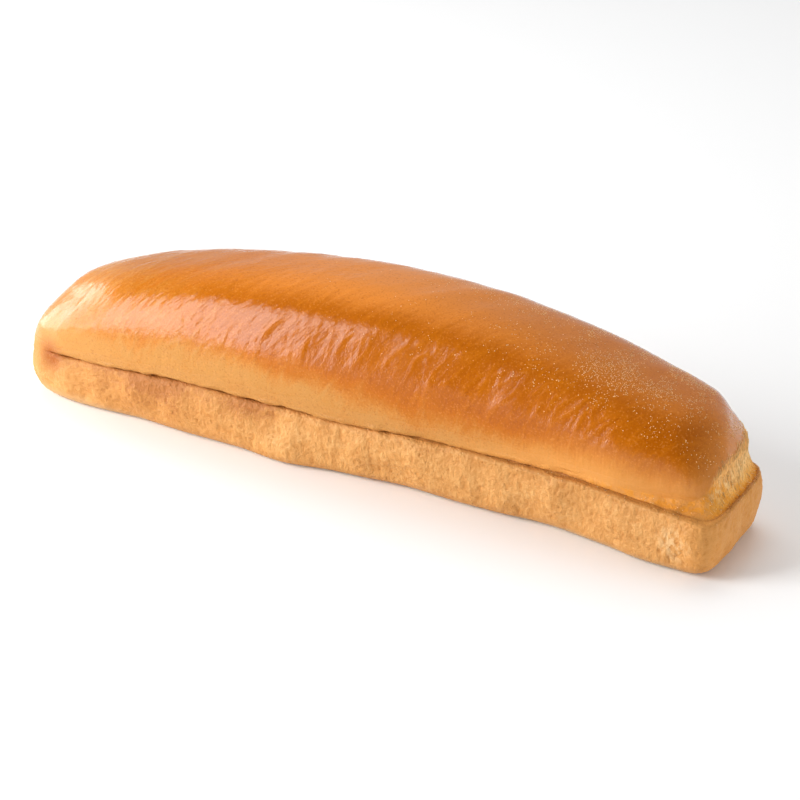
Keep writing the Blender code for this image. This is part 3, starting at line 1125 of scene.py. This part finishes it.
def crustMaterial():
    material = bpy.data.materials.new("bakedCrust")
    material.use_nodes = True
    tree = material.node_tree
    shader = tree.nodes["Principled BSDF"]
    skin = crustSockets(tree)

    # wall and dome meet in the crease, and run into each other where it fades
    inputs = {
        0: skin["creaseShare"],
        2: ranged(tree, skin["wallHeight"], "fadedCrease"),
        3: ranged(tree, skin["wallHeight"], "fullCrease"),
    }
    onDome = addNode(tree, "ShaderNodeMix", inputs).outputs[0]
    colour = blendColours(tree, onDome, wallColour(tree, skin), domeColour(tree, skin))
    # painted shade: a brown spot in the notch where the crease ends
    notch = spot(tree, skin["place"], *crustFinish["notchSpot"])
    notch = times(tree, notch, ranged(tree, skin["pebble"], "notchPebble"))
    colour = painted(tree, notch, colour, "paintedNotchShade")
    bare = ranged(tree, shifted(tree, skin["tornCrumb"], skin["strand"], "bareStrand"), "bareCrumb")
    colour = blendColours(tree, bare, colour, crumbColour(tree, skin))
    colour = edgePainted(tree, skin, colour, bare)

    # painted shade: a dark brown line in the crease, uneven along it; along the torn lip it also stands for
    # the lip's own brown edge
    line = ranged(tree, skin["creaseShade"], "lineShade")
    line = times(tree, line, ranged(tree, skin["clump"], "lineBreaks"), crustFinish["shares"]["line"])
    tree.links.new(painted(tree, line, colour, "paintedCreaseShade"), shader.inputs["Base Color"])

    glazed = shifted(tree, skin["domeHeight"], skin["blotch"], "glazeBlotch")
    glazed = times(tree, onDome, ranged(tree, glazed, "glazeHeight"))
    inputs = {0: glazed, 2: crustFinish["mattRoughness"], 3: crustFinish["glazeRoughness"]}
    rough = addNode(tree, "ShaderNodeMix", inputs).outputs[0]
    rough = addNode(tree, "ShaderNodeMix", {0: bare, 2: rough, 3: crustFinish["crumbRoughness"]}).outputs[0]
    tree.links.new(rough, shader.inputs["Roughness"])
    tree.links.new(crustBump(tree, skin, onDome, glazed), shader.inputs["Normal"])
    shader.inputs["Specular IOR Level"].default_value = crustFinish["specular"]
    return material


pieceFinish = {
    # colour 0 to 255, roughness, and how much darker its specks are
    "paleBlister": ((246, 196, 134), 0.35, 0.14),
    "crumbFibre": ((240, 194, 124), 0.85, 0.14),
    "brownFlake": ((186, 100, 26), 0.6, 0.40),
    "speckSize": (0.0012, 0.0012, 0.0012),
    "speckRange": (0.35, 0.65),
    "subsurfaceWeight": 0.15,
    "subsurfaceRadius": (1.0, 0.5, 0.2),
    "subsurfaceScale": 0.002,
}


def pieceMaterial(name):
    # one of the colours above with darker specks, which vary it from piece to piece
    colour, roughness, spread = pieceFinish[name]
    material = bpy.data.materials.new(name)
    material.use_nodes = True
    tree = material.node_tree
    shader = tree.nodes["Principled BSDF"]
    place = addNode(tree, "ShaderNodeTexCoord").outputs["Object"]
    speck = stretch(tree, scaledNoise(tree, place, pieceFinish["speckSize"]), *pieceFinish["speckRange"])
    darker = fromScreen(*[value * (1 - spread) for value in colour])
    tree.links.new(blendColours(tree, speck, fromScreen(*colour), darker), shader.inputs["Base Color"])
    shader.inputs["Roughness"].default_value = roughness
    shader.inputs["Subsurface Weight"].default_value = pieceFinish["subsurfaceWeight"]
    shader.inputs["Subsurface Radius"].default_value = pieceFinish["subsurfaceRadius"]
    shader.inputs["Subsurface Scale"].default_value = pieceFinish["subsurfaceScale"]
    return material


# The bun's pieces
crust = crustMaterial()
roughSkin = loftBun()
addBlisterMask(roughSkin)
addRaggedMask(roughSkin)
print("bun lofted:", len(roughSkin.data.polygons), "faces")

bunSkin = runTree(fineReliefTree(), roughSkin, "bunSkin.fine", skinRelief["sizes"], crust)
print("fine relief made")
smallPieces = []
for name, makeTree, sizes, finish in (
    ("crustBlisters", blisterTree, blisterSizes, "paleBlister"),
    ("crumbWisps", wispTree, wispSizes, "crumbFibre"),
    ("lipFlakes", flakeTree, flakeSizes, "brownFlake"),
):
    smallPieces.append(runTree(makeTree(), bunSkin, name, sizes, pieceMaterial(finish)))
    print(name + ":", len(smallPieces[-1].data.polygons), "faces")
bpy.data.objects.remove(roughSkin, do_unlink=True)

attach(bunSkin, "root")
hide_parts("bun")
for piece in smallPieces:
    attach(piece, "root")

# Camera at the photograph's viewing angle: turned from -Y towards +X, looking a little down
cameraSet = {
    "turn": 28.82,
    "elevation": 23.59,
    "distance": 0.6593,
    "target": (0.0, 0.0036, 0.025),
    "pixelsPerMetre": 3330.5,
    "targetPixel": (381.55, 370.28),
    "frame": 800,
    "sensor": 36.0,
    "clipStart": 0.01,
}


def addCamera():
    turn, rise = math.radians(cameraSet["turn"]), math.radians(cameraSet["elevation"])
    back = Vector((math.sin(turn) * math.cos(rise), -math.cos(turn) * math.cos(rise), math.sin(rise)))
    data = bpy.data.cameras.new("photoCamera")
    data.sensor_width = cameraSet["sensor"]
    focal = cameraSet["pixelsPerMetre"] * cameraSet["distance"]
    data.lens = focal / cameraSet["frame"] * cameraSet["sensor"]
    data.shift_x = (cameraSet["frame"] / 2 - cameraSet["targetPixel"][0]) / cameraSet["frame"]
    data.shift_y = (cameraSet["targetPixel"][1] - cameraSet["frame"] / 2) / cameraSet["frame"]
    data.clip_start = cameraSet["clipStart"]
    camera = bpy.data.objects.new("photoCamera", data)
    camera.location = Vector(cameraSet["target"]) + back * cameraSet["distance"]
    camera.rotation_euler = back.to_track_quat("Z", "Y").to_euler()
    bpy.context.scene.collection.objects.link(camera)
    bpy.context.scene.camera = camera


# Lamps are placed by direction, in degrees: azimuth from +X towards +Y, and height above the floor
studio = {
    "roomDark": 0.09,
    "roomBright": 0.66,
    "brightSide": (0.12, 0.93, -0.35),
    "brightRange": (-0.9, 0.9),
    "floorColour": (0.96, 0.96, 0.96, 1.0),
    "floorRoughness": 0.9,
    "floorSize": 6.0,
    "lampTarget": (0.015, -0.020, 0.045),
    "lamps": (
        # name, azimuth, elevation, distance, width, height, roll, radiance, whether the glaze mirrors it
        ("keySoftbox", -136.0, 18.0, 0.8, 0.40, 0.74, 12.0, 8.2, True),
        ("sideSoftbox", -173.0, 9.0, 0.8, 0.84, 0.30, 4.0, 3.9, True),
        ("topPanel", 120.0, 58.0, 1.3, 1.1, 1.1, 0.0, 1.5, False),
        ("frontPanel", -61.0, 70.0, 1.3, 1.0, 1.0, 0.0, 0.2, False),
        ("rightFill", 0.0, 6.0, 1.2, 1.3, 0.3, 0.0, 4.1, False),
    ),
}


def addLamp(name, azimuth, elevation, distance, width, height, roll, radiance, mirrored):
    turn, rise = math.radians(azimuth), math.radians(elevation)
    away = Vector((math.cos(turn) * math.cos(rise), math.sin(turn) * math.cos(rise), math.sin(rise)))
    data = bpy.data.lights.new(name, "AREA")
    data.shape = "RECTANGLE"
    data.size = width
    data.size_y = height
    data.energy = 4 * radiance * width * height
    lamp = bpy.data.objects.new(name, data)
    lamp.location = Vector(studio["lampTarget"]) + away * distance
    facing = away.to_track_quat("Z", "Y") @ Quaternion((0.0, 0.0, 1.0), math.radians(roll))
    lamp.rotation_euler = facing.to_euler()
    lamp.visible_glossy = mirrored
    bpy.context.scene.collection.objects.link(lamp)


def addStudio():
    # a room that is dark on the camera's side and pale behind the bun
    world = bpy.data.worlds.new("studioRoom")
    bpy.context.scene.world = world
    world.use_nodes = True
    tree = world.node_tree
    view = addNode(tree, "ShaderNodeTexCoord").outputs["Generated"]
    side = addNode(tree, "ShaderNodeVectorMath", {0: view, 1: studio["brightSide"]}, operation="DOT_PRODUCT")
    levels = (*studio["brightRange"], studio["roomDark"], studio["roomBright"])
    strength = stretch(tree, side.outputs["Value"], *levels, "LINEAR")
    background = tree.nodes["Background"]
    background.inputs["Color"].default_value = (1.0, 1.0, 1.0, 1.0)
    tree.links.new(strength, background.inputs["Strength"])
    for lamp in studio["lamps"]:
        addLamp(*lamp)
    half = studio["floorSize"] / 2
    data = bpy.data.meshes.new("studioFloor")
    corners = [(-half, -half, 0), (half, -half, 0), (half, half, 0), (-half, half, 0)]
    data.from_pydata(corners, [], [(0, 1, 2, 3)])
    floor = bpy.data.objects.new("studioFloor", data)
    paint = bpy.data.materials.new("floorPaint")
    paint.use_nodes = True
    shader = paint.node_tree.nodes["Principled BSDF"]
    shader.inputs["Base Color"].default_value = studio["floorColour"]
    shader.inputs["Roughness"].default_value = studio["floorRoughness"]
    shader.inputs["Specular IOR Level"].default_value = 0.0
    data.materials.append(paint)
    bpy.context.scene.collection.objects.link(floor)


addCamera()
addStudio()
bpy.context.scene.view_settings.view_transform = "Standard"
print("camera and studio placed")
